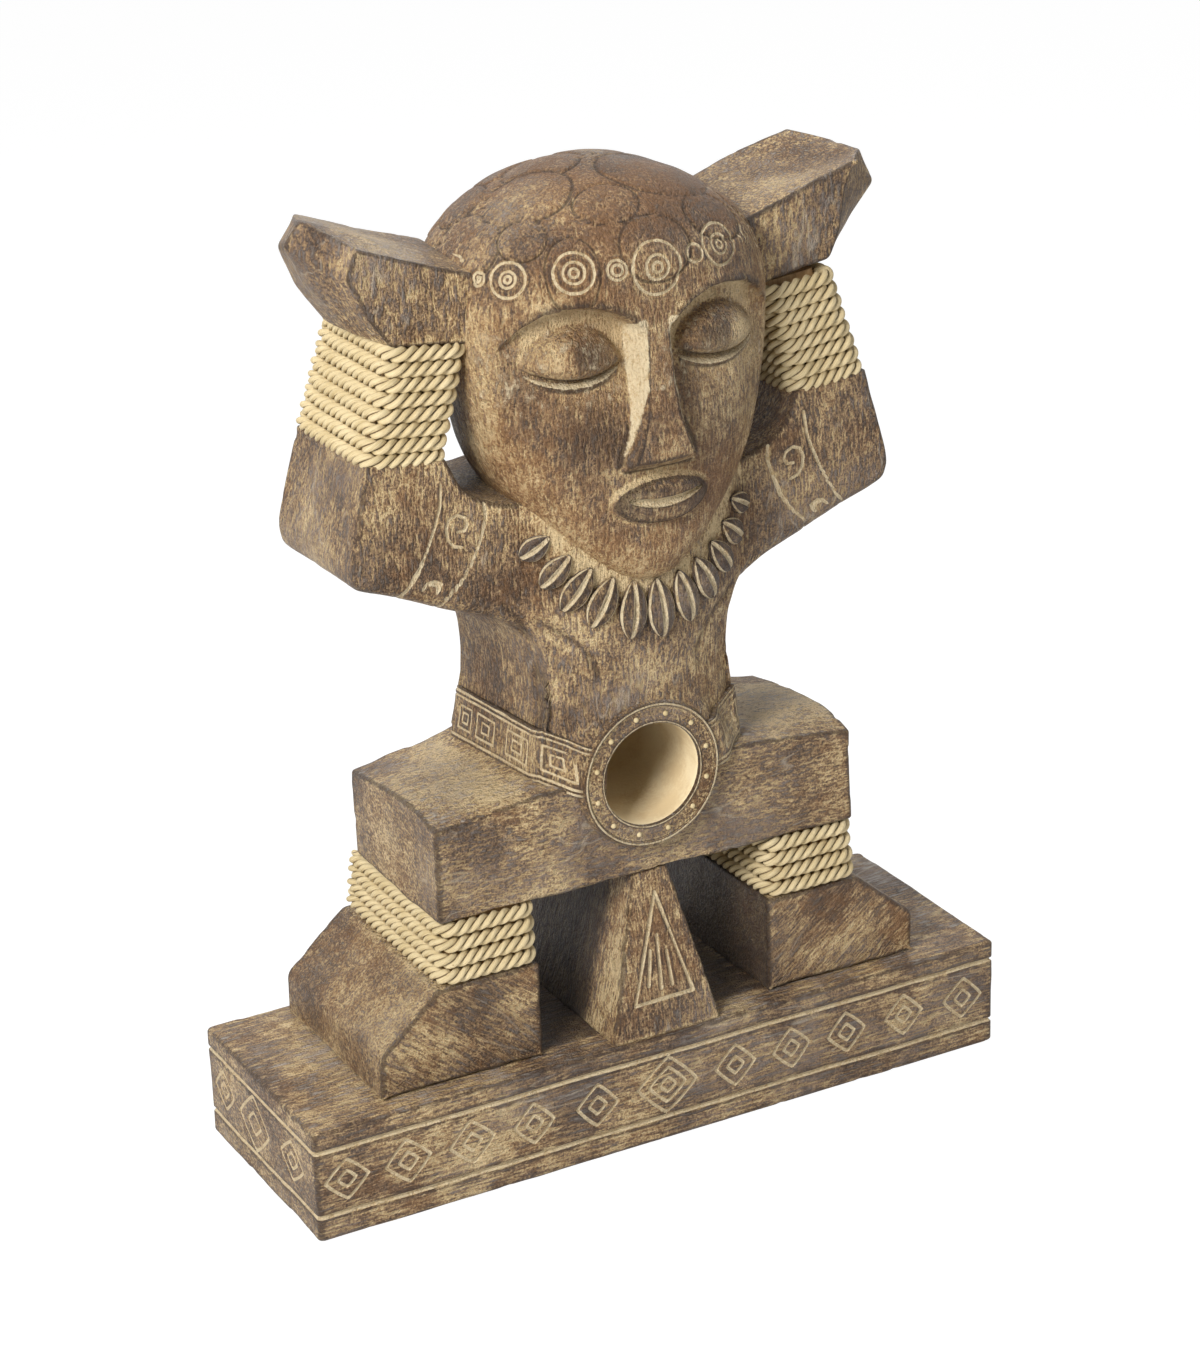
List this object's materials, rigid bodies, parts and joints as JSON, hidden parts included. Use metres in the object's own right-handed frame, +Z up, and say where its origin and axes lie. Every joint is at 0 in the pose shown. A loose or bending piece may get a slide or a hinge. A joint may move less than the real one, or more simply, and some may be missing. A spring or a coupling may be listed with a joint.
{
  "type": "tiki figure",
  "caption": "Stylised carved standing figure with raised hands bound to its arms by rope, a round blind recess at the navel, on a long plinth.",
  "frame": {"origin": "centre of the plinth's underside", "axes": "+X to the right seen from the front, +Y to the back, +Z up"},
  "size_m": [0.4, 0.1445, 0.5032],
  "materials": {
    "carved_wood": "dry-brushed umber paint over an ochre base coat, matt",
    "rope": "natural three-strand cord, matt",
    "shells": "carved, dry-brushed umber over ochre",
    "studs": "cream paint, matt",
    "cup": "cream base coat, matt",
    "post_wood": "bare wood",
    "dowel_wood": "bare beech",
    "screw_steel": "plain steel"
  },
  "bodies": {
    "root": {"apron_dowel": "dowel_wood", "apron_wedge": "carved_wood", "foot_left": "carved_wood", "foot_right": "carved_wood", "hand_left": "carved_wood", "hand_right": "carved_wood", "head": "carved_wood", "hip_beam": "carved_wood", "leg_dowels": "dowel_wood", "leg_post_left": "post_wood", "leg_post_right": "post_wood", "leg_rope_left": "rope", "leg_rope_right": "rope", "navel_cup": "cup", "navel_ring": "carved_wood", "navel_studs": "studs", "neck_dowels": "dowel_wood", "necklace_shells": "shells", "plinth": "carved_wood", "plinth_screws": "screw_steel", "shoulder_dowels": "dowel_wood", "torso": "carved_wood", "upper_arm_left": "carved_wood", "upper_arm_right": "carved_wood", "waist_dowels": "dowel_wood", "wrist_dowels": "dowel_wood", "wrist_post_left": "post_wood", "wrist_post_right": "post_wood", "wrist_rope_left": "rope", "wrist_rope_right": "rope"}
  },
  "joints": []
}
